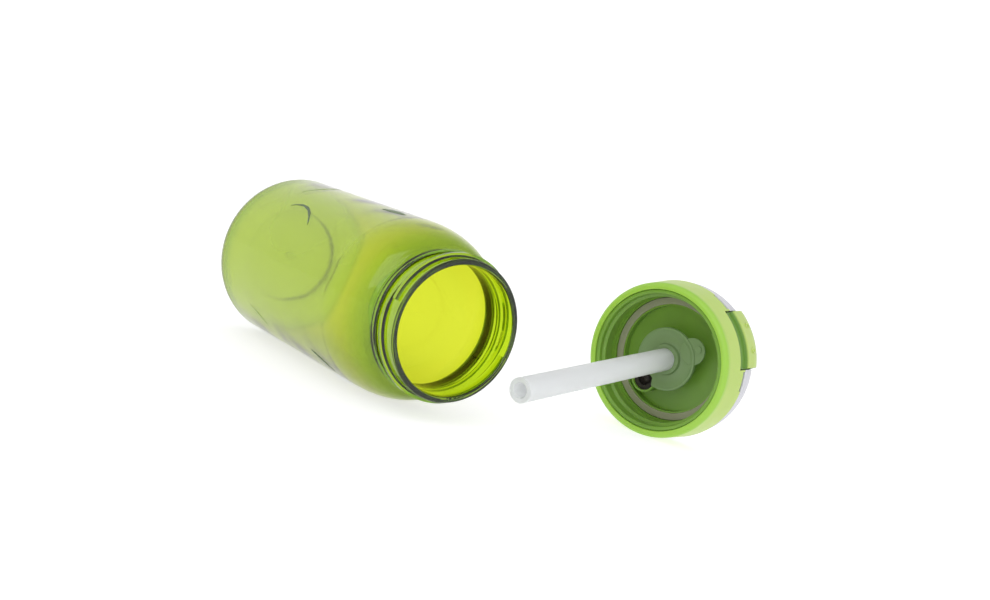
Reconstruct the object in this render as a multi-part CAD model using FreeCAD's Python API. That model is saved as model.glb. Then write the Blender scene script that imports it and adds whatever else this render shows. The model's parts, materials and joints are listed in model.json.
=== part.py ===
"""Kids' water bottle, lying on its side with its straw lid unscrewed beside it.

Millimetres, +Z up, the surface that both halves lie on at z = 0.
The bottle's axis runs along +X from its base to its mouth.
Each piece is drawn upright in one of two local frames, about its own Z axis, and then laid down:
the bottle frame has its base at height 0, and the lid frame has its open rim at height 0.
"""
import FreeCAD
import Part
import os
from math import asin, atan2, copysign, cos, radians, sin, sqrt

V = FreeCAD.Vector
Z_AXIS = V(0, 0, 1)

# Driving dimensions: bottle
BODY_R = 36.5
BODY_LENGTH = 146.0
WALL = 2.2
BASE_CORNER_R = 8.0
FOOT_INNER_R = 25.0
PUSH_UP = 3.2
GATE_R = 2.2
GATE_HEIGHT = 0.5
SHOULDER_START = 105.0
SHOULDER_RISE = 23.5
SHOULDER_STEP = 8.0
SHOULDER_CUT = 1.5
SHOULDER_THICKENING = 4.2
NECK_R = 28.05
MOUTH_R = 25.6
RIM_ROUND = 0.9
BEAD_HEIGHT = 133.7
BEAD_HALF = 0.9
BEAD_R = 29.3

# Driving dimensions: screw thread shared by neck and lid
THREAD_LEAD = 7.0
THREAD_TIP_R = 29.55
NECK_THREAD_TURN = 230.0
NECK_THREAD_TOP = 141.7
NECK_THREAD_TOP_ANGLE = 165.0
LID_THREAD_TIP_R = 28.95
LID_THREAD_TURN = 200.0
LID_THREAD_START = 4.0

# Driving dimensions: lid
LID_WALL_R = 30.3
CORE_WALL_OUT_R = 32.3
CORE_LOW = 0.9
CORE_FLANGE_R = 33.8
LIP_IN_R = 32.35
LIP_ROUND = 2.0
COLLAR_IN_R = 33.85
COLLAR_LOW_R = 35.5
COLLAR_TOP_R = 36.5
COLLAR_TOP = 17.5
DECK_R = 32.8
DECK_TOP = 20.5
CEILING = 18.5
CEILING_R = 24.6
SEAL_IN_R = 25.3
SEAL_OUT_R = 28.7
SEAL_FACE = 14.3
SEAL_THICK = 2.0
SEAL_FIT = 0.05
BOSS_R = 12.0
BOSS_FACE = 11.0
BOSS_BORE_R = 8.0
VENT_R = 5.5
VENT_BOSS_R = 6.4
VENT_BOSS_FACE = 12.3
VENT_PITCH_R = 16.1
VENT_ANGLE = 160.0
CORE_THREAD_ANGLE = -9.0
SLIT_START = 23.6
SLIT_END = 38.5
SLIT_DEPTH = 2.0

# Driving dimensions: flip cover, hinge and button
DOME_CENTRE = 20.5
DOME_R = 36.0
DOME_RISE = 27.5
CAP_TURN = 60.0
COVER_WALL = 2.0
COVER_EDGE = 17.7
PAD_R = 6.8
PAD_LOW = 40.6
PAD_HIGH = 45.3
HINGE_X = -36.4
HINGE_HEIGHT = 19.0
HINGE_PIN_R = 1.2
HINGE_PIN_HALF = 10.0
KNUCKLE_R = 2.8
KNUCKLE_FIT = 0.04
KNUCKLE_WIDTH = 2.8
KNUCKLE_INSIDE = 3.3
LUG_WIDTH = 3.3
LUG_INSIDE = 6.3
HINGE_ROOM_HALF = 9.9
BUTTON_HALF = 13.3
BUTTON_LOW = 12.8
BUTTON_HIGH = 33.3
BUTTON_IN_R = 33.2
BUTTON_CORNER_R = 3.4
BUTTON_TRAVEL = 1.8
BUTTON_GAP = 0.5
SPRING_HEIGHT = 24.5
SPRING_SEAT_X = 20.4
SPRING_R = 2.5
MARK_SPREAD = 5.6
MARK_HEIGHT = 24.4
MARK_FACE = 36.95
MARK_OUT_R = 1.5
MARK_IN_R = 0.95

# Driving dimensions: straw
STRAW_R = 5.15
STRAW_BORE_R = 3.2
STRAW_INSERT = 4.7
STRAW_REACH = 115.8
STRAW_DROOP = 3.4
FLANGE_R = 14.7
FLANGE_FACE = 9.3
SOCKET_R = 7.1
SOCKET_FACE = 8.1
ADAPTER_BORE_R = 3.0
TAB_R = 6.2
TAB_REACH = 14.0
NOTCH_REACH = 11.2
NOTCH_HALF = 3.0
NOTCH_FLARE = 50.0

# Where the halves lie: centre of the bottle's base, centre of the lid's rim, and the lid's turn
BASE_X = -78.35
AXIS_Y = -71.44
LID_FORWARD = 117.2
LID_ASIDE = 131.5
LID_HEADING = 19.2
LID_TILT = 5.0
BUTTON_TURN = 31.0


# Frames -------------------------------------------------------------------------------------

def lid_axes():
    """Right, up and dome directions of the lid, before it is turned about its own axis."""
    heading = radians(LID_HEADING)
    tilt = radians(LID_TILT)
    right = V(cos(heading), sin(heading), 0)
    up = V(sin(tilt) * sin(heading), -sin(tilt) * cos(heading), cos(tilt))
    dome = V(-cos(tilt) * sin(heading), cos(tilt) * cos(heading), sin(tilt))
    return right, up, dome


def frame_matrix(x_axis, y_axis, z_axis, origin):
    """Matrix that takes a local frame to the part's frame."""
    return FreeCAD.Matrix(
        x_axis.x, y_axis.x, z_axis.x, origin.x,
        x_axis.y, y_axis.y, z_axis.y, origin.y,
        x_axis.z, y_axis.z, z_axis.z, origin.z,
        0, 0, 0, 1)


def bottle_frame():
    """Bottle frame: height along +X, local X along +Y."""
    origin = V(BASE_X, AXIS_Y, BODY_R)
    return frame_matrix(V(0, 1, 0), V(0, 0, 1), V(1, 0, 0), origin)


def lid_frame():
    """Lid frame: height from rim to dome, local X through the middle of the button."""
    right, up, dome = lid_axes()
    turn = radians(BUTTON_TURN)
    x_axis = right * cos(turn) + up * sin(turn)
    y_axis = right * sin(turn) - up * cos(turn)
    tilt = radians(LID_TILT)
    rim_height = LIP_ROUND + (COLLAR_LOW_R - LIP_ROUND) * cos(tilt) - LIP_ROUND * sin(tilt)
    origin = V(BASE_X + LID_FORWARD, AXIS_Y + LID_ASIDE, rim_height)
    return frame_matrix(x_axis, y_axis, dome, origin)


def straw_direction():
    """Way that the straw hangs out of the lid, in the lid frame."""
    turn = radians(BUTTON_TURN)
    droop = radians(STRAW_DROOP)
    return V(-sin(turn) * sin(droop), cos(turn) * sin(droop), -cos(droop))


# Drawing helpers ----------------------------------------------------------------------------

class Oval:
    """A quarter ellipse's centre and semi-axes, and the point on it that a stretch ends at."""

    def __init__(self, centre, semi_r, semi_h, end):
        self.centre = centre
        self.semi_r = semi_r
        self.semi_h = semi_h
        self.end = end

    def edge(self, here):
        """Elliptical edge in the XZ plane, from a point on the ellipse to the end point."""
        r, h = self.centre
        far = [V(r + self.semi_r, 0, h), V(r, 0, h + self.semi_h)]
        if self.semi_h > self.semi_r:
            far.reverse()
        ellipse = Part.Ellipse(far[0], far[1], V(r, 0, h))
        ends = sorted(ellipse.parameter(p) for p in (here, V(self.end[0], 0, self.end[1])))
        return Part.ArcOfEllipse(ellipse, ends[0], ends[1]).toShape()


def outline_wire(start, steps):
    """Closed wire in the XZ plane. A step is a point, an arc as (middle, end), or an Oval."""
    here = V(start[0], 0, start[1])
    first = here
    edges = []
    for step in steps:
        if isinstance(step, Oval):
            edges.append(step.edge(here))
            end = V(step.end[0], 0, step.end[1])
        elif isinstance(step[0], tuple):
            middle = V(step[0][0], 0, step[0][1])
            end = V(step[1][0], 0, step[1][1])
            edges.append(Part.Arc(here, middle, end).toShape())
        else:
            end = V(step[0], 0, step[1])
            edges.append(Part.LineSegment(here, end).toShape())
        here = end
    if here.distanceToPoint(first) > 1e-6:
        edges.append(Part.LineSegment(here, first).toShape())
    return Part.Wire(edges)


def turned(start, steps):
    """Solid turned about Z from an outline of (radius, height) points."""
    return Part.Face(outline_wire(start, steps)).revolve(V(0, 0, 0), Z_AXIS, 360)


def rod(radius, low, high, x=0.0, y=0.0):
    """Upright cylinder between two heights."""
    return Part.makeCylinder(radius, high - low, V(x, y, low))


def block(x_range, y_range, z_range):
    """Box between two corners."""
    size = [b - a for a, b in (x_range, y_range, z_range)]
    return Part.makeBox(size[0], size[1], size[2], V(x_range[0], y_range[0], z_range[0]))


def cap_middle(edge_r, edge_h, top_h):
    """Middle point of an arc from an edge to the axis, square to the axis at its top."""
    rise = abs(top_h - edge_h)
    cap_r = (edge_r ** 2 + rise ** 2) / (2 * rise)
    half = atan2(edge_r, cap_r - rise) / 2
    return cap_r * sin(half), top_h - copysign(cap_r * (1 - cos(half)), top_h - edge_h)


def dome_stretch(radius, rise, centre_h, turn):
    """Dome as an elliptical stretch up to a turn angle, then a cap tangent to it.

    Returns the ellipse's centre, where it meets the cap, the cap's middle, and the top height."""
    turn = radians(turn)
    meet = (radius * cos(turn), centre_h + rise * sin(turn))
    cap_centre = centre_h + sin(turn) * (rise - radius ** 2 / rise)
    cap_r = sqrt(meet[0] ** 2 + (meet[1] - cap_centre) ** 2)
    top = cap_centre + cap_r
    return (0, centre_h), meet, cap_middle(*meet, top), top


def shoulder(start_h, wall_r, rise, step, neck_r, cut):
    """Shoulder from the wall to the neck: an elliptical stretch, then a tangent fillet.

    cut is how far outside the ellipse's centre line the fillet takes over."""
    base_r = wall_r - step
    angle = asin(cut / step)
    meet = (base_r + cut, start_h + rise * cos(angle))
    lean = atan2(step * cos(angle), rise * sin(angle))
    fillet = (meet[0] - neck_r) / (1 - cos(lean))
    neck_h = meet[1] + fillet * sin(lean)
    middle = (neck_r + fillet * (1 - cos(lean / 2)), neck_h - fillet * sin(lean / 2))
    return Oval((base_r, start_h), step, rise, meet), (middle, (neck_r, neck_h))


def helix_ridge(root_r, tip_r, root_width, tip_width, turn):
    """Ridge that follows a right-hand helix from angle 0, height 0."""
    path = Part.makeHelix(THREAD_LEAD, THREAD_LEAD * turn / 360, root_r)
    section = outline_wire((root_r, -root_width / 2),
                           [(tip_r, -tip_width / 2), (tip_r, tip_width / 2), (root_r, root_width / 2)])
    return Part.Wire(path).makePipeShell([section], True, True)


def coil(radius, wire_r, pitch, turns):
    """Plain helical spring of round wire, standing on height 0."""
    path = Part.makeHelix(pitch, pitch * turns, radius)
    circle = Part.Wire(Part.makeCircle(wire_r, V(radius, 0, 0), V(0, 1, 0)))
    return Part.Wire(path).makePipeShell([circle], True, True)


def along_x(shape, x, y, z):
    """Turn an upright shape so that its height runs along local X, and put its foot at a point."""
    shape.rotate(V(0, 0, 0), V(0, 1, 0), 90)
    shape.translate(V(x, y, z))
    return shape


def along_y(shape, x, y, z):
    """Turn an upright shape so that its height runs along local Y, and put its foot at a point."""
    shape.rotate(V(0, 0, 0), V(1, 0, 0), -90)
    shape.translate(V(x, y, z))
    return shape


# Bottle -------------------------------------------------------------------------------------

def neck_thread(start_angle):
    """One start of the neck thread: blunt at the mouth, run out to nothing at its lower end."""
    ridge = helix_ridge(NECK_R - 0.45, THREAD_TIP_R, 2.9, 1.2, NECK_THREAD_TURN)
    run_out_r = 31.1
    run_out_shift = 3.2
    ridge = ridge.common(rod(run_out_r, -5, 12, x=-run_out_shift))
    ridge.rotate(V(0, 0, 0), Z_AXIS, start_angle - NECK_THREAD_TURN)
    ridge.translate(V(0, 0, NECK_THREAD_TOP - THREAD_LEAD * NECK_THREAD_TURN / 360))
    return ridge


def bottle_body():
    """Blown body with a pushed-up base, elliptical shoulder and two-start threaded neck."""
    eighth = 1 - cos(radians(45))
    corner = BASE_CORNER_R * eighth
    rim = RIM_ROUND * eighth
    outside = shoulder(SHOULDER_START, BODY_R, SHOULDER_RISE, SHOULDER_STEP, NECK_R, SHOULDER_CUT)
    outer = [
        (BODY_R - BASE_CORNER_R, 0),
        ((BODY_R - corner, corner), (BODY_R, BASE_CORNER_R)),
        (BODY_R, SHOULDER_START),
        *outside,
        (NECK_R, BEAD_HEIGHT - BEAD_HALF),
        ((BEAD_R, BEAD_HEIGHT), (NECK_R, BEAD_HEIGHT + BEAD_HALF)),
        (NECK_R, BODY_LENGTH - RIM_ROUND),
        ((NECK_R - rim, BODY_LENGTH - rim), (NECK_R - RIM_ROUND, BODY_LENGTH)),
        (MOUTH_R + RIM_ROUND, BODY_LENGTH),
        ((MOUTH_R + rim, BODY_LENGTH - rim), (MOUTH_R, BODY_LENGTH - RIM_ROUND)),
    ]
    # The inside is walked from the mouth down to the middle of the floor.
    wall_r = BODY_R - WALL
    start_h = SHOULDER_START - 0.6
    rise = SHOULDER_RISE - SHOULDER_THICKENING
    oval, fillet = shoulder(start_h, wall_r, rise, SHOULDER_STEP - 0.7, MOUTH_R, 1.3)
    meet = oval.end
    inner_corner = BASE_CORNER_R - WALL
    inner = inner_corner * eighth
    oval.end = (wall_r, start_h)
    floor_edge = (FOOT_INNER_R - 3.4, PUSH_UP + WALL - 0.6)
    floor_top = PUSH_UP + WALL + 0.4
    down = [
        fillet[1],
        (fillet[0], meet),
        oval,
        (wall_r, BASE_CORNER_R),
        ((wall_r - inner, WALL + inner), (wall_r - inner_corner, WALL)),
        (FOOT_INNER_R + 2.4, WALL),
        ((FOOT_INNER_R - 1.0, WALL + 0.9), floor_edge),
        (cap_middle(*floor_edge, floor_top), (0, floor_top)),
    ]
    dent_edge = (FOOT_INNER_R - 4.4, PUSH_UP - 0.6)
    dent_top = PUSH_UP + 0.4
    under = [
        (0, dent_top),
        (cap_middle(*dent_edge, dent_top), dent_edge),
        ((FOOT_INNER_R - 1.4, 1.0), (FOOT_INNER_R + 1.6, 0)),
    ]
    shell = turned(under[-1][1], outer + down + under)
    shell = shell.fuse(rod(GATE_R, dent_top - GATE_HEIGHT, dent_top + 0.8))
    for start in (NECK_THREAD_TOP_ANGLE, NECK_THREAD_TOP_ANGLE + 180):
        shell = shell.fuse(neck_thread(start))
    return shell.removeSplitter()


# Lid: the threaded core and its collar ------------------------------------------------------

def button_pocket(low, half_width):
    """Space that the button and its travel need, open to the outside and upwards."""
    back_r = BUTTON_IN_R - 0.1
    space = block((20, 45), (-half_width, half_width), (low, 45))
    return space.cut(rod(back_r, low - 1, 46, x=-BUTTON_TRAVEL - 0.2))


def vent_centre():
    """Centre of the vent, in the lid frame."""
    angle = radians(VENT_ANGLE)
    return VENT_PITCH_R * cos(angle), VENT_PITCH_R * sin(angle)


def lid_core():
    """Threaded inner moulding: skirt, ceiling, seal groove, straw boss and vent boss."""
    steps = [
        (CORE_WALL_OUT_R - 0.4, CORE_LOW),
        (CORE_WALL_OUT_R, CORE_LOW + 0.4),
        (CORE_WALL_OUT_R, 15.3),
        (CORE_FLANGE_R, 15.3),
        (CORE_FLANGE_R, COLLAR_TOP - 0.1),
        (DECK_R, COLLAR_TOP - 0.1),
        (DECK_R, DECK_TOP - 0.8),
        (DECK_R - 0.8, DECK_TOP),
        (6.5, DECK_TOP),
        (6.5, CEILING + 0.5),
        (BOSS_BORE_R, CEILING + 0.5),
        (BOSS_BORE_R, BOSS_FACE),
        (BOSS_R - 0.4, BOSS_FACE),
        (BOSS_R, BOSS_FACE + 0.4),
        (BOSS_R, CEILING),
        (CEILING_R, CEILING),
        (CEILING_R, SEAL_FACE + 0.5),
        (SEAL_IN_R, SEAL_FACE + 0.5),
        (SEAL_IN_R, SEAL_FACE + SEAL_THICK),
        (SEAL_OUT_R, SEAL_FACE + SEAL_THICK),
        (SEAL_OUT_R, SEAL_FACE - 0.8),
        (LID_WALL_R - 0.5, SEAL_FACE - 0.8),
        (LID_WALL_R, SEAL_FACE - 2.0),
        (LID_WALL_R, CORE_LOW + 1.0),
        ((LID_WALL_R + 0.2, CORE_LOW + 0.3), (LID_WALL_R + 0.8, CORE_LOW)),
    ]
    core = turned((LID_WALL_R + 0.8, CORE_LOW), steps)
    x, y = vent_centre()
    core = core.fuse(rod(VENT_BOSS_R, VENT_BOSS_FACE, CEILING + 0.5, x=x, y=y))
    for start in (0, 180):
        ridge = helix_ridge(LID_WALL_R + 0.35, LID_THREAD_TIP_R, 2.6, 1.0, LID_THREAD_TURN)
        ridge.rotate(V(0, 0, 0), Z_AXIS, start + CORE_THREAD_ANGLE)
        ridge.translate(V(0, 0, LID_THREAD_START))
        core = core.fuse(ridge)
    core = core.fuse(spring_seat())
    core = core.fuse(hinge_lugs())
    core = core.cut(rod(VENT_R, VENT_BOSS_FACE - 1, CEILING - 0.2, x=x, y=y))
    core = core.cut(rod(1.6, CEILING - 1, DECK_TOP + 1, x=x, y=y))
    core = core.cut(button_pocket(BUTTON_LOW - BUTTON_GAP, BUTTON_HALF + BUTTON_GAP))
    return core.removeSplitter()


def spring_seat():
    """Post on the deck that the button's spring bears on, with a round socket for its end."""
    foot = DECK_TOP - 0.5
    seat = block((SPRING_SEAT_X - 2.0, SPRING_SEAT_X + 2.2), (-4.2, 4.2), (foot, SPRING_HEIGHT + 4.0))
    web = block((12.5, SPRING_SEAT_X - 1.8), (-1.0, 1.0), (foot, DECK_TOP + 5.0))
    socket = along_x(rod(SPRING_R + 0.6, 0, 2.4), SPRING_SEAT_X, 0, SPRING_HEIGHT)
    return seat.fuse(web).cut(socket)


def hinge_lugs():
    """Two lugs at the back of the deck, each with a bore for the hinge pin."""
    lugs = []
    for low in (-LUG_INSIDE - LUG_WIDTH, LUG_INSIDE):
        lug = along_y(rod(KNUCKLE_R, 0, LUG_WIDTH), HINGE_X, low, HINGE_HEIGHT)
        arm = block((HINGE_X, -DECK_R + 1.8), (low, low + LUG_WIDTH),
                    (HINGE_HEIGHT - 1.4, HINGE_HEIGHT + 1.2))
        lugs.append(lug.fuse(arm))
    pin_bore = along_y(rod(HINGE_PIN_R, 0, 40), HINGE_X, -20, HINGE_HEIGHT)
    return lugs[0].fuse(lugs[1]).cut(pin_bore)


def hinge_clearance():
    """Room round the hinge barrel, open to the outside."""
    radius = KNUCKLE_R + 0.35
    half = HINGE_ROOM_HALF
    barrel = along_y(rod(radius, 0, 2 * half), HINGE_X, -half, HINGE_HEIGHT)
    outside = block((HINGE_X - 12, HINGE_X), (-half, half),
                    (HINGE_HEIGHT - radius, HINGE_HEIGHT + radius))
    return barrel.fuse(outside)


def lid_collar():
    """Outer skirt and rounded lip of the lid, slightly conical, pressed over the core."""
    lip_r = COLLAR_LOW_R - LIP_ROUND
    slant = LIP_ROUND * sin(radians(45))
    steps = [
        ((LIP_IN_R + 0.15, 0.15), (LIP_IN_R + 0.5, 0)),
        (lip_r, 0),
        ((lip_r + slant, LIP_ROUND - slant), (COLLAR_LOW_R, LIP_ROUND)),
        (COLLAR_TOP_R, COLLAR_TOP - 0.5),
        (COLLAR_TOP_R - 0.5, COLLAR_TOP),
        (COLLAR_IN_R, COLLAR_TOP),
        (COLLAR_IN_R, 3.0),
        (LIP_IN_R, 3.0),
    ]
    collar = turned((LIP_IN_R, 0.5), steps)
    collar = collar.cut(button_pocket(BUTTON_LOW - BUTTON_GAP, BUTTON_HALF + BUTTON_GAP))
    collar = collar.cut(hinge_clearance())
    for side in (-1, 1):
        collar = collar.cut(collar_slit(side))
    return collar.removeSplitter()


def collar_slit(side):
    """Finger slit in the collar's top edge, beside the button."""
    bottom = COLLAR_TOP - SLIT_DEPTH
    reach = 60.0
    corners = [V(0, 0, bottom)]
    for angle in (SLIT_START, SLIT_END):
        turn = radians(angle * side)
        corners.append(V(reach * cos(turn), reach * sin(turn), bottom))
    wedge = Part.Face(Part.makePolygon(corners + [corners[0]])).extrude(V(0, 0, SLIT_DEPTH + 1))
    return wedge.cut(rod(COLLAR_IN_R - 0.5, 0, 40))


def lid_seal():
    """Flat silicone ring with a small lip, in the groove above the threads."""
    low = SEAL_FACE
    high = SEAL_FACE + SEAL_THICK
    inside = SEAL_IN_R + SEAL_FIT
    outside = SEAL_OUT_R - SEAL_FIT
    steps = [
        ((inside + 0.15, low + 0.1), (inside + 0.5, low)),
        (outside - 0.5, low),
        ((outside - 0.15, low + 0.1), (outside, low + 0.4)),
        (outside, high),
        (inside, high),
    ]
    return turned((inside, low + 0.4), steps)


def vent_valve():
    """Soft black valve pressed into the vent boss, with a dished face and a slit dome."""
    x, y = vent_centre()
    face = VENT_BOSS_FACE + 1.2
    steps = [
        (VENT_R - 0.02, face),
        (VENT_R - 0.02, CEILING - 0.2),
        (0, CEILING - 0.2),
        (0, face + 0.4),
        (cap_middle(2.6, face + 2.0, face + 0.4), (2.6, face + 2.0)),
        (3.4, face + 2.0),
    ]
    valve = turned((3.4, face), steps)
    slit = block((-1.6, 1.6), (-0.1, 0.1), (face, face + 1.2))
    valve = valve.cut(slit)
    valve.translate(V(x, y, 0))
    return valve


# Lid: straw, adapter and mouthpiece ---------------------------------------------------------

def straw_pivot():
    """Point on the lid's axis, level with the flange, that the straw leaves from."""
    return V(0, 0, FLANGE_FACE)


def straw_cylinder(radius, back, forward):
    """Cylinder about the straw's own axis, from inside the lid to outside it."""
    way = straw_direction()
    return Part.makeCylinder(radius, back + forward, straw_pivot() - way * back, way)


def adapter_notch():
    """Flared notch in the flange that keeps it clear of the vent."""
    flare = radians(NOTCH_FLARE)
    far = FLANGE_R + 4
    far_half = NOTCH_HALF + (far - NOTCH_REACH) * sin(flare) / cos(flare)
    low = SOCKET_FACE - 1
    corners = [V(NOTCH_REACH, -NOTCH_HALF, low), V(far, -far_half, low),
               V(far, far_half, low), V(NOTCH_REACH, NOTCH_HALF, low)]
    notch = Part.Face(Part.makePolygon(corners + [corners[0]])).extrude(V(0, 0, 5))
    notch.rotate(V(0, 0, 0), Z_AXIS, VENT_ANGLE)
    return notch


def straw_adapter():
    """Soft adapter: stem, bell-shaped flange, straw socket and a pull tab with a raised bump."""
    rim = FLANGE_R - 1.2
    steps = [
        (SOCKET_R - 0.4, SOCKET_FACE),
        ((SOCKET_R - 0.12, SOCKET_FACE + 0.12), (SOCKET_R, SOCKET_FACE + 0.4)),
        (SOCKET_R + 0.3, FLANGE_FACE + 0.5),
        ((10.6, FLANGE_FACE + 0.95), (rim, FLANGE_FACE + 0.1)),
        ((rim + 0.2, FLANGE_FACE), (rim + 0.5, FLANGE_FACE)),
        (FLANGE_R - 0.5, FLANGE_FACE),
        ((FLANGE_R - 0.12, FLANGE_FACE + 0.15), (FLANGE_R, FLANGE_FACE + 0.6)),
        (FLANGE_R, BOSS_FACE),
        (BOSS_BORE_R - 0.02, BOSS_FACE),
        (BOSS_BORE_R - 0.02, CEILING + 0.4),
        (ADAPTER_BORE_R, CEILING + 0.4),
    ]
    adapter = turned((ADAPTER_BORE_R, SOCKET_FACE), steps)
    tab_low = FLANGE_FACE + 0.5
    tab_high = BOSS_FACE - 0.1
    tab = rod(TAB_R, tab_low, tab_high, x=TAB_REACH)
    root = block((TAB_REACH - 2.5, TAB_REACH), (-TAB_R, TAB_R), (tab_low, tab_high))
    adapter = adapter.fuse(tab.fuse(root))
    adapter = adapter.fuse(rod(1.7, tab_low - 0.5, BOSS_FACE - 0.2, x=TAB_REACH + 3.2))
    adapter = adapter.cut(adapter_notch())
    adapter = adapter.cut(straw_cylinder(STRAW_R + 0.03, STRAW_INSERT + 0.05, 20))
    return adapter.removeSplitter()


def straw():
    """Straight soft tube, cut square at both ends."""
    tube = straw_cylinder(STRAW_R, STRAW_INSERT, STRAW_REACH)
    return tube.cut(straw_cylinder(STRAW_BORE_R, STRAW_INSERT + 1, STRAW_REACH + 1))


def mouthpiece():
    """Soft drinking spout: a stem through the deck, a flange, and an oval tip with a bore."""
    stem = rod(6.46, CEILING + 0.5, DECK_TOP + 0.1)
    flange = rod(9.6, DECK_TOP, DECK_TOP + 1.8)
    foot = Part.Wire(Part.makeCircle(6.6, V(0, 0, DECK_TOP + 1.5), Z_AXIS))
    waist = Part.Wire(Part.makeCircle(5.6, V(0, 0, 29), Z_AXIS))
    tip_shape = Part.Ellipse(V(0, 6.6, 40), V(4.4, 0, 40), V(0, 0, 40)).toShape()
    spout = Part.makeLoft([foot, waist, Part.Wire(tip_shape)], True)
    piece = stem.fuse(flange).fuse(spout)
    piece = piece.fuse(rod(6.5, 24.6, 25.8))
    return piece.cut(rod(2.6, CEILING, 41)).removeSplitter()


# Flip cover, hinge and button ---------------------------------------------------------------

def flip_cover():
    """Domed cover shell, notched round the button, with two hinge knuckles."""
    inner_r = DOME_R - COVER_WALL
    inner_rise = DOME_RISE - COVER_WALL
    centre, meet, middle, top = dome_stretch(DOME_R, DOME_RISE, DOME_CENTRE, CAP_TURN)
    centre, inner_meet, inner_middle, inner_top = dome_stretch(inner_r, inner_rise, DOME_CENTRE, CAP_TURN)
    steps = [
        (COLLAR_TOP_R - 0.2, COVER_EDGE + 0.3),
        (DOME_R, DOME_CENTRE),
        Oval(centre, DOME_R, DOME_RISE, meet),
        (middle, (0, top)),
        (0, inner_top),
        (inner_middle, inner_meet),
        Oval(centre, inner_r, inner_rise, (inner_r, DOME_CENTRE)),
        (inner_r, COVER_EDGE),
    ]
    cover = turned((COLLAR_TOP_R - 0.5, COVER_EDGE), steps)
    half = BUTTON_HALF + BUTTON_GAP
    cover = cover.cut(block((22, 45), (-half, half), (0, BUTTON_HIGH + 0.8)))
    window_top = HINGE_HEIGHT + KNUCKLE_R + 0.5
    cover = cover.cut(block((-40, -31), (-HINGE_ROOM_HALF, HINGE_ROOM_HALF), (0, window_top)))
    for low in (-KNUCKLE_INSIDE - KNUCKLE_WIDTH, KNUCKLE_INSIDE):
        knuckle = along_y(rod(KNUCKLE_R, 0, KNUCKLE_WIDTH), HINGE_X, low, HINGE_HEIGHT)
        arm = block((HINGE_X, -33.3), (low, low + KNUCKLE_WIDTH), (HINGE_HEIGHT, window_top + 2.0))
        cover = cover.fuse(knuckle.fuse(arm))
    cover = cover.fuse(pad_holder())
    pin_bore = along_y(rod(HINGE_PIN_R + KNUCKLE_FIT, 0, 40), HINGE_X, -20, HINGE_HEIGHT)
    return cover.cut(pin_bore).removeSplitter()


def pad_holder():
    """Short ring under the dome's top that grips the stopper pad."""
    return rod(PAD_R + 1.6, PAD_LOW + 2.0, PAD_HIGH + 0.5).cut(rod(PAD_R, PAD_LOW, PAD_HIGH + 5))


def cover_pad():
    """Soft stopper pad under the dome, just clear of the mouthpiece's tip."""
    radius = PAD_R - 0.02
    steps = [
        (radius - 1.18, PAD_LOW),
        ((radius - 0.38, PAD_LOW + 0.25), (radius, PAD_LOW + 1.0)),
        (radius, PAD_HIGH),
        (0, PAD_HIGH),
    ]
    return turned((0, PAD_LOW), steps)


def hinge_pin():
    """Steel pin through the lugs and knuckles."""
    half = HINGE_PIN_HALF
    return along_y(rod(HINGE_PIN_R - 0.01, 0, 2 * half), HINGE_X, -half, HINGE_HEIGHT)


def cover_spring():
    """Torsion spring round the pin, between the cover's knuckles."""
    turns = 5.0
    wire_r = 0.35
    spring = coil(HINGE_PIN_R + 0.75, wire_r, 0.95, turns)
    spring = along_y(spring, HINGE_X, -0.95 * turns / 2, HINGE_HEIGHT)
    return spring


def rounded_front(low, high, half, corner):
    """Long prism along local X whose front view is a rectangle with round corners."""
    prism = block((20, 45), (-half, half), (low + corner, high - corner))
    prism = prism.fuse(block((20, 45), (-half + corner, half - corner), (low, high)))
    for y in (-half + corner, half - corner):
        for z in (low + corner, high - corner):
            prism = prism.fuse(along_x(rod(corner, 0, 25), 20, y, z))
    return prism


def push_button():
    """Release button: recessed foot, raised thumb pad with two raised rings, curved back."""
    steps = [
        (34.7, BUTTON_LOW),
        ((35.2, BUTTON_LOW + 0.4), (35.4, BUTTON_LOW + 1.4)),
        (35.4, 17.4),
        ((35.6, 18.4), (36.4, 18.9)),
        ((36.9, 19.2), (37.05, 19.9)),
        (37.1, 24.0),
        ((36.2, 29.4), (33.6, BUTTON_HIGH)),
        (30.9, BUTTON_HIGH),
        (BUTTON_IN_R, 24.0),
    ]
    button = turned((BUTTON_IN_R, BUTTON_LOW), steps)
    front = rounded_front(BUTTON_LOW, BUTTON_HIGH, BUTTON_HALF, BUTTON_CORNER_R)
    button = button.common(front)
    for y in (-MARK_SPREAD, MARK_SPREAD):
        mark = rod(MARK_OUT_R, 0, 4).cut(rod(MARK_IN_R, -1, 5))
        button = button.fuse(along_x(mark, MARK_FACE - 4, y, MARK_HEIGHT))
    stem = along_x(rod(1.5, 0, 3.4), 30.2, 0, SPRING_HEIGHT)
    return button.fuse(stem).removeSplitter()


def button_spring():
    """Compression spring between the deck's post and the button, drawn at its pressed length."""
    wire_r = 0.3
    turns = 5.0
    length = 8.0
    spring = coil(SPRING_R, wire_r, length / turns, turns)
    return along_x(spring, SPRING_SEAT_X + wire_r + 0.02, 0, SPRING_HEIGHT)


# Writing ------------------------------------------------------------------------------------

BOTTLE_NODES = {"bottle_body": bottle_body}
LID_NODES = {
    "lid_core": lid_core,
    "lid_collar": lid_collar,
    "lid_seal": lid_seal,
    "vent_valve": vent_valve,
    "straw_adapter": straw_adapter,
    "straw": straw,
    "mouthpiece": mouthpiece,
    "flip_cover": flip_cover,
    "cover_pad": cover_pad,
    "hinge_pin": hinge_pin,
    "cover_spring": cover_spring,
    "push_button": push_button,
    "button_spring": button_spring,
}


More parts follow.
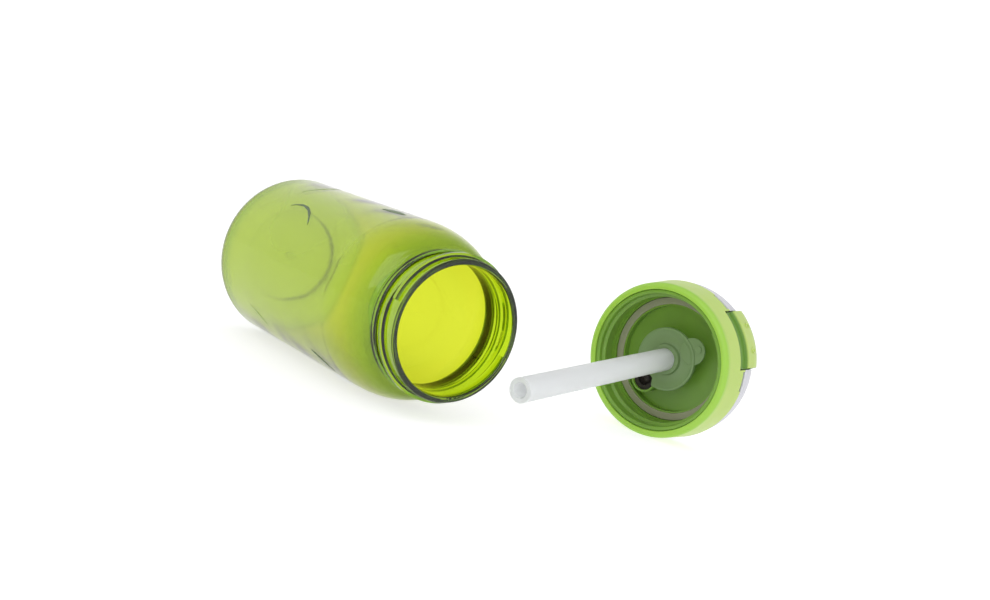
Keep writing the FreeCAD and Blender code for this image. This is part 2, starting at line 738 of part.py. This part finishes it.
def build_all():
    """Every node's solid in the part's frame."""
    solids = {}
    for nodes, matrix in ((BOTTLE_NODES, bottle_frame()), (LID_NODES, lid_frame())):
        for name, make in nodes.items():
            shape = make().copy()
            shape.transformShape(matrix)
            solids[name] = shape
    return solids


def main():
    os.makedirs("parts", exist_ok=True)
    box = FreeCAD.BoundBox()
    for name, shape in build_all().items():
        box.add(shape.optimalBoundingBox(False))
        print(name, "solids", len(shape.Solids), "valid", shape.isValid(), "volume", round(shape.Volume, 1))
        shape.exportStep("parts/" + name + ".step")
    print("box", [round(v, 2) for v in (box.XMin, box.XMax, box.YMin, box.YMax, box.ZMin, box.ZMax)])


if __name__ == "__main__":
    main()
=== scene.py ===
"""Looks of the kids' water bottle: a tinted clear bottle on its side, its straw lid beside it.

Metres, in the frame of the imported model: +Z up, the surface that both halves lie on at z = 0.
"""

import json
from math import cos, pi, radians, sin

import bmesh
import bpy
from mathutils import Matrix, Vector


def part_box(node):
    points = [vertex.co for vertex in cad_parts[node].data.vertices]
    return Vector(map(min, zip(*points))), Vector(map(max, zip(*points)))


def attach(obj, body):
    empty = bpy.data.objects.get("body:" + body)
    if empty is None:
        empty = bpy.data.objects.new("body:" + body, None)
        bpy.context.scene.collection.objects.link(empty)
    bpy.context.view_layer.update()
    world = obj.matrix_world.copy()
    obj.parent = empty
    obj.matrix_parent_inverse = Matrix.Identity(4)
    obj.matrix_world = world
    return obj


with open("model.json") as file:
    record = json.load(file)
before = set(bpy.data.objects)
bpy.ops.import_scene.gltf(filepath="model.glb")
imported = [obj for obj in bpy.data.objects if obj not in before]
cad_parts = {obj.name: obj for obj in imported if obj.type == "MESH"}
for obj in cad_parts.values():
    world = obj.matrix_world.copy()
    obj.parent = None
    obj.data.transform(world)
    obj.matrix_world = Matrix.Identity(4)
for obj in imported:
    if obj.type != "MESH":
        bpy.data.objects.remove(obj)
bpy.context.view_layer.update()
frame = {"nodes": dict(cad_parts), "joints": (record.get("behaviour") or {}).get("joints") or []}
NODES = frame["nodes"]
JOINTS = {joint["name"]: joint for joint in frame["joints"]}

MM = 0.001

# Places taken from the frame
BOTTLE_LOW, BOTTLE_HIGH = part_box("bottle_body")
BOTTLE_MIDDLE = (BOTTLE_LOW + BOTTLE_HIGH) / 2
BOTTLE_BASE = Vector((BOTTLE_LOW.x, BOTTLE_MIDDLE.y, BOTTLE_MIDDLE.z))
BOTTLE_R = (BOTTLE_HIGH.z - BOTTLE_LOW.z) / 2
LID_RIM = Vector(JOINTS["lid_turn"]["pos_m"])
LID_Z = -Vector(JOINTS["lid_turn"]["axis"])


# Node helpers -------------------------------------------------------------------------------

def new_material(name):
    """Empty node material with a Principled shader wired to its output."""
    mat = bpy.data.materials.new(name)
    mat.use_nodes = True
    tree = mat.node_tree
    tree.nodes.clear()
    out = tree.nodes.new("ShaderNodeOutputMaterial")
    shader = tree.nodes.new("ShaderNodeBsdfPrincipled")
    tree.links.new(shader.outputs["BSDF"], out.inputs["Surface"])
    return mat, tree, shader, out


def set_sockets(shader, values):
    """Plain numbers and colours on the shader's own sockets."""
    for name, value in values.items():
        shader.inputs[name].default_value = value


def object_coordinates(tree):
    """The piece's own coordinates, which at rest are the frame's, in metres."""
    return tree.nodes.new("ShaderNodeTexCoord").outputs["Object"]


def noise(tree, where, scale, detail=3.0, rough=0.5):
    """Noise of a given scale, in cells per metre."""
    node = tree.nodes.new("ShaderNodeTexNoise")
    node.inputs["Scale"].default_value = scale
    node.inputs["Detail"].default_value = detail
    node.inputs["Roughness"].default_value = rough
    tree.links.new(where, node.inputs["Vector"])
    return node.outputs["Fac"]


def spread(tree, value, low, high, from_low=0.3, from_high=0.7):
    """Map a value's middle range to another range."""
    node = tree.nodes.new("ShaderNodeMapRange")
    node.inputs["From Min"].default_value = from_low
    node.inputs["From Max"].default_value = from_high
    node.inputs["To Min"].default_value = low
    node.inputs["To Max"].default_value = high
    tree.links.new(value, node.inputs["Value"])
    return node.outputs["Result"]


def mix_colours(tree, factor, first, second):
    """Blend between two plain colours or sockets by a factor socket."""
    node = tree.nodes.new("ShaderNodeMix")
    node.data_type = "RGBA"
    tree.links.new(factor, node.inputs["Factor"])
    for socket, value in ((node.inputs[6], first), (node.inputs[7], second)):
        if isinstance(value, bpy.types.NodeSocket):
            tree.links.new(value, socket)
        else:
            socket.default_value = (*value, 1)
    return node.outputs[2]


def bump(tree, height, depth, before=None):
    """Bump of a real depth in metres."""
    node = tree.nodes.new("ShaderNodeBump")
    node.inputs["Strength"].default_value = 1.0
    node.inputs["Distance"].default_value = depth
    tree.links.new(height, node.inputs["Height"])
    if before is not None:
        tree.links.new(before, node.inputs["Normal"])
    return node.outputs["Normal"]


def vector_math(tree, operation, first, second=None):
    """Vector maths node: a socket first, then a plain vector where the operation takes two."""
    node = tree.nodes.new("ShaderNodeVectorMath")
    node.operation = operation
    tree.links.new(first, node.inputs[0])
    if second is not None:
        node.inputs[1].default_value = second
    return node


def from_lid_rim(tree):
    """Vector from the middle of the lid's rim, in metres, on any piece of the lid."""
    where = tree.nodes.new("ShaderNodeTexCoord")
    return vector_math(tree, "SUBTRACT", where.outputs["Object"], LID_RIM).outputs["Vector"]


def lid_height(tree):
    """Height above the lid's rim along the lid's own axis, in metres."""
    return vector_math(tree, "DOT_PRODUCT", from_lid_rim(tree), LID_Z).outputs["Value"]


def lid_radius(tree):
    """Distance from the lid's own axis, in metres."""
    across = vector_math(tree, "CROSS_PRODUCT", from_lid_rim(tree), LID_Z)
    return vector_math(tree, "LENGTH", across.outputs["Vector"]).outputs["Value"]


GRAIN_SCALE = 1400.0
GRAIN_DEPTH = 0.012 * MM
DRIFT_DEPTH = 0.04 * MM


def moulded(name, colour, shade, roughness, sockets, painted_shade=None):
    """Moulded plastic or rubber: fine surface grain, slow waviness, and a slight colour drift.

    The last argument is (colour, measure, full, end): painted shade, a darker colour where the lid's
    height or radius is near the first value and none at the second."""
    mat, tree, shader, _ = new_material(name)
    where = object_coordinates(tree)
    drift = noise(tree, where, 45.0, 4.0)
    fine = noise(tree, where, GRAIN_SCALE, 2.0)
    tint = mix_colours(tree, spread(tree, drift, 0, 1), colour, shade)
    # Painted shade: a darker colour blended in by the lid's height or radius, standing in for shade
    if painted_shade is not None:
        painted_shade_colour, measure, full, end = painted_shade
        share = spread(tree, measure(tree), 1, 0, full, end)
        tint = mix_colours(tree, share, tint, painted_shade_colour)
    tree.links.new(tint, shader.inputs["Base Color"])
    smear = noise(tree, where, 160.0, 5.0, 0.6)
    low, high = roughness
    tree.links.new(spread(tree, smear, low, high), shader.inputs["Roughness"])
    waves = bump(tree, drift, DRIFT_DEPTH)
    tree.links.new(bump(tree, fine, GRAIN_DEPTH, waves), shader.inputs["Normal"])
    set_sockets(shader, sockets)
    return mat


# Materials ----------------------------------------------------------------------------------

# Bottle: colours of the body, its base and its neck, and where one gives way to the next, as
# distances along the axis from the base
BODY_TINT = (0.98, 1.0, 0.96)
BASE_TINT = (0.72, 0.9, 0.84)
NECK_TINT = (0.72, 0.95, 0.62)
BASE_ZONE = (6 * MM, 16 * MM)
NECK_ZONE = (118 * MM, 127 * MM)
BASE_HAZE = 0.22
DEPTH_COLOUR = (0.888, 0.906, 0.05)
DEPTH_DENSITY = 1300.0
WAVE_DEPTH = 0.4 * MM
PEEL_DEPTH = 0.01 * MM


def bottle_material():
    """Blown clear plastic: tinted by depth, glossy, greener and softer towards its base and neck."""
    mat, tree, shader, out = new_material("bottle_tint")
    where = object_coordinates(tree)
    waves = noise(tree, where, 28.0, 1.0)
    peel = noise(tree, where, 260.0, 2.0)
    parts = tree.nodes.new("ShaderNodeSeparateXYZ")
    tree.links.new(where, parts.inputs[0])
    base_from, base_to = (BOTTLE_BASE.x + height for height in BASE_ZONE)
    neck_from, neck_to = (BOTTLE_BASE.x + height for height in NECK_ZONE)
    at_base = spread(tree, parts.outputs["X"], 1, 0, base_from, base_to)
    at_neck = spread(tree, parts.outputs["X"], 0, 1, neck_from, neck_to)
    body = mix_colours(tree, at_base, BODY_TINT, BASE_TINT)
    tree.links.new(mix_colours(tree, at_neck, body, NECK_TINT), shader.inputs["Base Color"])
    clear = spread(tree, waves, 0.03, 0.07)
    haze = tree.nodes.new("ShaderNodeMath")
    haze.operation = "MULTIPLY_ADD"
    tree.links.new(at_base, haze.inputs[0])
    haze.inputs[1].default_value = BASE_HAZE
    tree.links.new(clear, haze.inputs[2])
    tree.links.new(haze.outputs["Value"], shader.inputs["Roughness"])
    slow = bump(tree, waves, WAVE_DEPTH)
    tree.links.new(bump(tree, peel, PEEL_DEPTH, slow), shader.inputs["Normal"])
    set_sockets(shader, {"IOR": 1.52, "Transmission Weight": 1.0})
    depth = tree.nodes.new("ShaderNodeVolumeAbsorption")
    depth.inputs["Color"].default_value = (*DEPTH_COLOUR, 1)
    depth.inputs["Density"].default_value = DEPTH_DENSITY
    tree.links.new(depth.outputs["Volume"], out.inputs["Volume"])
    return mat


FROST_DEPTH = 0.003 * MM


def frosted(name, colour, roughness, see_through):
    """Clear silicone or soft tube: frosted, partly see-through, with fine grain."""
    mat, tree, shader, _ = new_material(name)
    where = object_coordinates(tree)
    smear = noise(tree, where, 220.0, 4.0)
    fine = noise(tree, where, 1600.0, 2.0)
    low, high = roughness
    tree.links.new(spread(tree, smear, low, high), shader.inputs["Roughness"])
    tree.links.new(bump(tree, fine, FROST_DEPTH), shader.inputs["Normal"])
    set_sockets(shader, {"Base Color": (*colour, 1), "IOR": 1.41, "Transmission Weight": see_through})
    return mat


def steel(name):
    """Bright drawn spring steel with fine draw lines."""
    mat, tree, shader, _ = new_material(name)
    where = object_coordinates(tree)
    lines = noise(tree, where, 3000.0, 3.0)
    tree.links.new(mix_colours(tree, spread(tree, lines, 0, 1), (0.62, 0.62, 0.6), (0.42, 0.42, 0.41)),
                   shader.inputs["Base Color"])
    tree.links.new(spread(tree, lines, 0.22, 0.4), shader.inputs["Roughness"])
    set_sockets(shader, {"Metallic": 1.0})
    return mat


def hex_colour(text):
    """Linear colour from a display hex code."""
    parts = [int(text[i:i + 2], 16) / 255 for i in (0, 2, 4)]
    return tuple(p / 12.92 if p <= 0.04045 else ((p + 0.055) / 1.055) ** 2.4 for p in parts)


SOFT_GREEN_SCATTER = {
    "Subsurface Weight": 0.25,
    "Subsurface Radius": (0.6, 1.0, 0.15),
    "Subsurface Scale": 0.003,
    "IOR": 1.49,
}

SOFT_WHITE_SCATTER = {
    "Subsurface Weight": 0.2,
    "Subsurface Radius": (1.0, 1.0, 1.0),
    "Subsurface Scale": 0.002,
    "IOR": 1.49,
}
RUBBER = {"IOR": 1.41}

# Painted shade: a darker green on the collar's lip and on the foot of the button, standing in for the
# shade that falls there
LIP_PAINTED_SHADE = (hex_colour("98C446"), lid_height, 1.2 * MM, 3.6 * MM)
FOOT_PAINTED_SHADE = (hex_colour("5C8A26"), lid_radius, 36.0 * MM, 37.0 * MM)

MATERIALS = {
    "bottle_body": bottle_material(),
    "lid_core": moulded("core_plastic", hex_colour("76A03A"), hex_colour("6E9735"),
                        (0.3, 0.42), SOFT_GREEN_SCATTER),
    # collar: its lip darkened with painted shade
    "lid_collar": moulded("collar_plastic", hex_colour("B6CF68"), hex_colour("B0C961"),
                          (0.32, 0.44), SOFT_GREEN_SCATTER, painted_shade=LIP_PAINTED_SHADE),
    "lid_seal": moulded("seal_rubber", hex_colour("999B80"), hex_colour("8F9176"),
                        (0.5, 0.65), RUBBER),
    "vent_valve": moulded("valve_rubber", hex_colour("2B2620"), hex_colour("211D18"),
                          (0.45, 0.6), RUBBER),
    "straw_adapter": frosted("clear_silicone", (0.26, 0.4, 0.17), (0.38, 0.5), 0.45),
    "straw": frosted("frosted_tube", (0.95, 0.965, 0.975), (0.32, 0.45), 0.5),
    "flip_cover": moulded("cover_white_plastic", hex_colour("CACAD1"), hex_colour("C3C3CA"),
                          (0.3, 0.4), SOFT_WHITE_SCATTER),
    # button: its foot darkened with painted shade
    "push_button": moulded("button_plastic", hex_colour("B6CC6C"), hex_colour("AEC563"),
                           (0.3, 0.42), SOFT_GREEN_SCATTER, painted_shade=FOOT_PAINTED_SHADE),
    "hinge_pin": steel("spring_steel"),
}
for same, as_other in (("mouthpiece", "straw_adapter"), ("cover_pad", "straw_adapter"),
                       ("cover_spring", "hinge_pin"), ("button_spring", "hinge_pin")):
    MATERIALS[same] = MATERIALS[as_other]

for name, mat in MATERIALS.items():
    node = NODES[name]
    node.data.materials.clear()
    node.data.materials.append(mat)

# A hair of clearance between the frosted adapter and the boss that it sits on
ADAPTER_CLEARANCE = 0.05 * MM
clearance = NODES["straw_adapter"].modifiers.new("clearance", "DISPLACE")
clearance.mid_level = 0.0
clearance.strength = -ADAPTER_CLEARANCE


# Printed decoration -------------------------------------------------------------------------

PRINT_LIFT = 0.04 * MM
PRINT_THICKNESS = 0.03 * MM
STROKE_STEPS = 28
STROKE_SIDES = (-1, -0.5, 0, 0.5, 1)
DEGREE = BOTTLE_R / MM * pi / 180


def wall_point(height, angle):
    """Point just outside the wall: height in mm from the base, angle in degrees, 90 at the top."""
    turn = radians(angle)
    reach = BOTTLE_R + PRINT_LIFT
    return BOTTLE_BASE + Vector((height * MM, reach * cos(turn), reach * sin(turn)))


def bend(first, middle, last, share):
    """Point on a curve that leaves from first, leans towards middle and ends at last."""
    rest = 1 - share
    return [rest * rest * a + 2 * rest * share * b + share * share * c
            for a, b, c in zip(first, middle, last)]


def stroke_half_width(width, share):
    """Half the stroke's width: tapered at both ends, and a little uneven like a brush mark."""
    taper = sin(pi * (0.03 + 0.94 * share)) ** 0.6
    return width / 2 * taper * (1 + 0.12 * sin(9 * share * pi))


def stroke_row(path, width, share):
    """Points across the stroke, part of the way along its path. DEGREE is one degree in mm."""
    step = 0.01
    height, angle = bend(*path, share)
    ahead = bend(*path, min(share + step, 1.0))
    behind = bend(*path, max(share - step, 0.0))
    along = Vector((ahead[0] - behind[0], (ahead[1] - behind[1]) * DEGREE)).normalized()
    half = stroke_half_width(width, share)
    return [wall_point(height - side * half * along.y, angle + side * half * along.x / DEGREE)
            for side in STROKE_SIDES]


def ink_stroke(name, path, width, mat):
    """Brush stroke printed on the wall along a path of three points, with a print's thickness."""
    build = bmesh.new()
    rows = []
    for i in range(STROKE_STEPS + 1):
        points = stroke_row(path, width, i / STROKE_STEPS)
        rows.append([build.verts.new(point) for point in points])
    for one, other in zip(rows, rows[1:]):
        for i in range(len(STROKE_SIDES) - 1):
            build.faces.new((one[i], one[i + 1], other[i + 1], other[i]))
    bmesh.ops.recalc_face_normals(build, faces=build.faces)
    mesh = bpy.data.meshes.new(name)
    build.to_mesh(mesh)
    build.free()
    for polygon in mesh.polygons:
        polygon.use_smooth = True
    mesh.materials.append(mat)
    stroke = bpy.data.objects.new(name, mesh)
    bpy.context.scene.collection.objects.link(stroke)
    skin = stroke.modifiers.new("thickness", "SOLIDIFY")
    skin.thickness = PRINT_THICKNESS
    skin.offset = 0.0
    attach(stroke, "bottle")


INK = moulded("print_ink", (0.05, 0.085, 0.04), (0.11, 0.17, 0.07), (0.4, 0.6), {"IOR": 1.5})
PALE_INK = moulded("print_ink_pale", (0.2, 0.3, 0.1), (0.3, 0.42, 0.15), (0.4, 0.6), {"IOR": 1.5})

# Name, path as (height in mm, angle in degrees), width in mm, ink
STROKES = (
    ("print_top_near", ((86, 104), (92, 100), (100, 101)), 4.0, INK),
    ("print_top_far", ((77, 64), (84, 57), (93, 58)), 5.0, INK),
    ("print_top_arc", ((32, 120), (36.5, 106), (34, 92)), 1.0, PALE_INK),
    ("print_crescent", ((40, 136), (52, 125), (66, 145)), 1.3, INK),
    ("print_side_arc", ((34, 215), (41, 219), (45, 226)), 0.9, PALE_INK),
    ("print_low_near", ((87, 226), (93, 230), (98, 239)), 2.4, INK),
    ("print_low_far", ((78, 262), (85, 258), (94, 261)), 4.0, INK),
)


def make_print():
    """Plain curved strokes round the body, with no letters and no picture."""
    for stroke in STROKES:
        ink_stroke(*stroke)


make_print()


# Stage, light and camera --------------------------------------------------------------------

FLOOR_HALF = 6.0
FLOOR_SHADES = ((0.52, 0.52, 0.52), (0.51, 0.51, 0.51))
FLOOR_GLOW = 0.66
SURROUND_LOW = 1.1
SURROUND_HIGH = 0.7
SOFT_BOX_PLACE = (0.7, -0.9, 0.9)
SOFT_BOX_TARGET = (0, 0, 0.03)
SOFT_BOX_SIZE = (1.2, 1.2)
SOFT_BOX_POWER = 5.0
LIGHT_BOUNCES = 20

# Camera: place and aim from the foot of the bottle's base, in metres
CAMERA_PLACE = Vector((0.5411, -0.2813, 0.0966))
CAMERA_AIM = Vector((0.0136, 0.1119, 0.036))
CAMERA_ROLL = 15.14
CAMERA_LENS = 47.18
CAMERA_SENSOR = 36.0


def make_floor():
    """Plain pale surface that the halves lie on. Its slight glow keeps it white under them."""
    mesh = bpy.data.meshes.new("floor")
    half = FLOOR_HALF
    mesh.from_pydata([(-half, -half, 0), (half, -half, 0), (half, half, 0), (-half, half, 0)],
                     [], [(0, 1, 2, 3)])
    floor = bpy.data.objects.new("floor", mesh)
    bpy.context.scene.collection.objects.link(floor)
    mat, tree, shader, _ = new_material("floor_paint")
    speck = noise(tree, object_coordinates(tree), 30.0, 3.0)
    tree.links.new(mix_colours(tree, spread(tree, speck, 0, 1), *FLOOR_SHADES),
                   shader.inputs["Base Color"])
    set_sockets(shader, {"Roughness": 0.7, "Specular IOR Level": 0.1,
                         "Emission Color": (1, 1, 1, 1), "Emission Strength": FLOOR_GLOW})
    mesh.materials.append(mat)


def area_light(name, place, target, size, power):
    """Soft box pointed at a target."""
    data = bpy.data.lights.new(name, "AREA")
    data.shape = "RECTANGLE"
    data.size, data.size_y = size
    data.energy = power
    light = bpy.data.objects.new(name, data)
    bpy.context.scene.collection.objects.link(light)
    way = Vector(target) - Vector(place)
    light.matrix_world = Matrix.Translation(place) @ way.to_track_quat("-Z", "Y").to_matrix().to_4x4()


def make_light():
    """Bright surround, a little dimmer overhead, with one very large soft box above the camera."""
    world = bpy.data.worlds.new("studio")
    bpy.context.scene.world = world
    world.use_nodes = True
    tree = world.node_tree
    back = tree.nodes["Background"]
    where = tree.nodes.new("ShaderNodeTexCoord")
    parts = tree.nodes.new("ShaderNodeSeparateXYZ")
    tree.links.new(where.outputs["Generated"], parts.inputs[0])
    tree.links.new(spread(tree, parts.outputs["Z"], SURROUND_LOW, SURROUND_HIGH, 0.3, 0.9),
                   back.inputs["Strength"])
    back.inputs["Color"].default_value = (1, 1, 1, 1)
    area_light("soft_box", SOFT_BOX_PLACE, SOFT_BOX_TARGET, SOFT_BOX_SIZE, SOFT_BOX_POWER)
    scene = bpy.context.scene
    scene.view_settings.view_transform = "Standard"
    scene.view_settings.look = "None"
    scene.cycles.max_bounces = LIGHT_BOUNCES
    scene.cycles.transmission_bounces = LIGHT_BOUNCES


def make_camera():
    """Camera that looks into the bottle's mouth and the lid from a little above, slightly rolled."""
    foot = Vector((BOTTLE_BASE.x, BOTTLE_BASE.y, 0))
    place = foot + CAMERA_PLACE
    aim = foot + CAMERA_AIM
    data = bpy.data.cameras.new("camera")
    data.lens = CAMERA_LENS
    data.sensor_width = CAMERA_SENSOR
    data.clip_start = 0.01
    camera = bpy.data.objects.new("camera", data)
    bpy.context.scene.collection.objects.link(camera)
    level = (aim - place).to_track_quat("-Z", "Y").to_matrix().to_4x4()
    roll = Matrix.Rotation(radians(CAMERA_ROLL), 4, "Z")
    camera.matrix_world = Matrix.Translation(place) @ level @ roll
    bpy.context.scene.camera = camera


make_floor()
make_light()
make_camera()
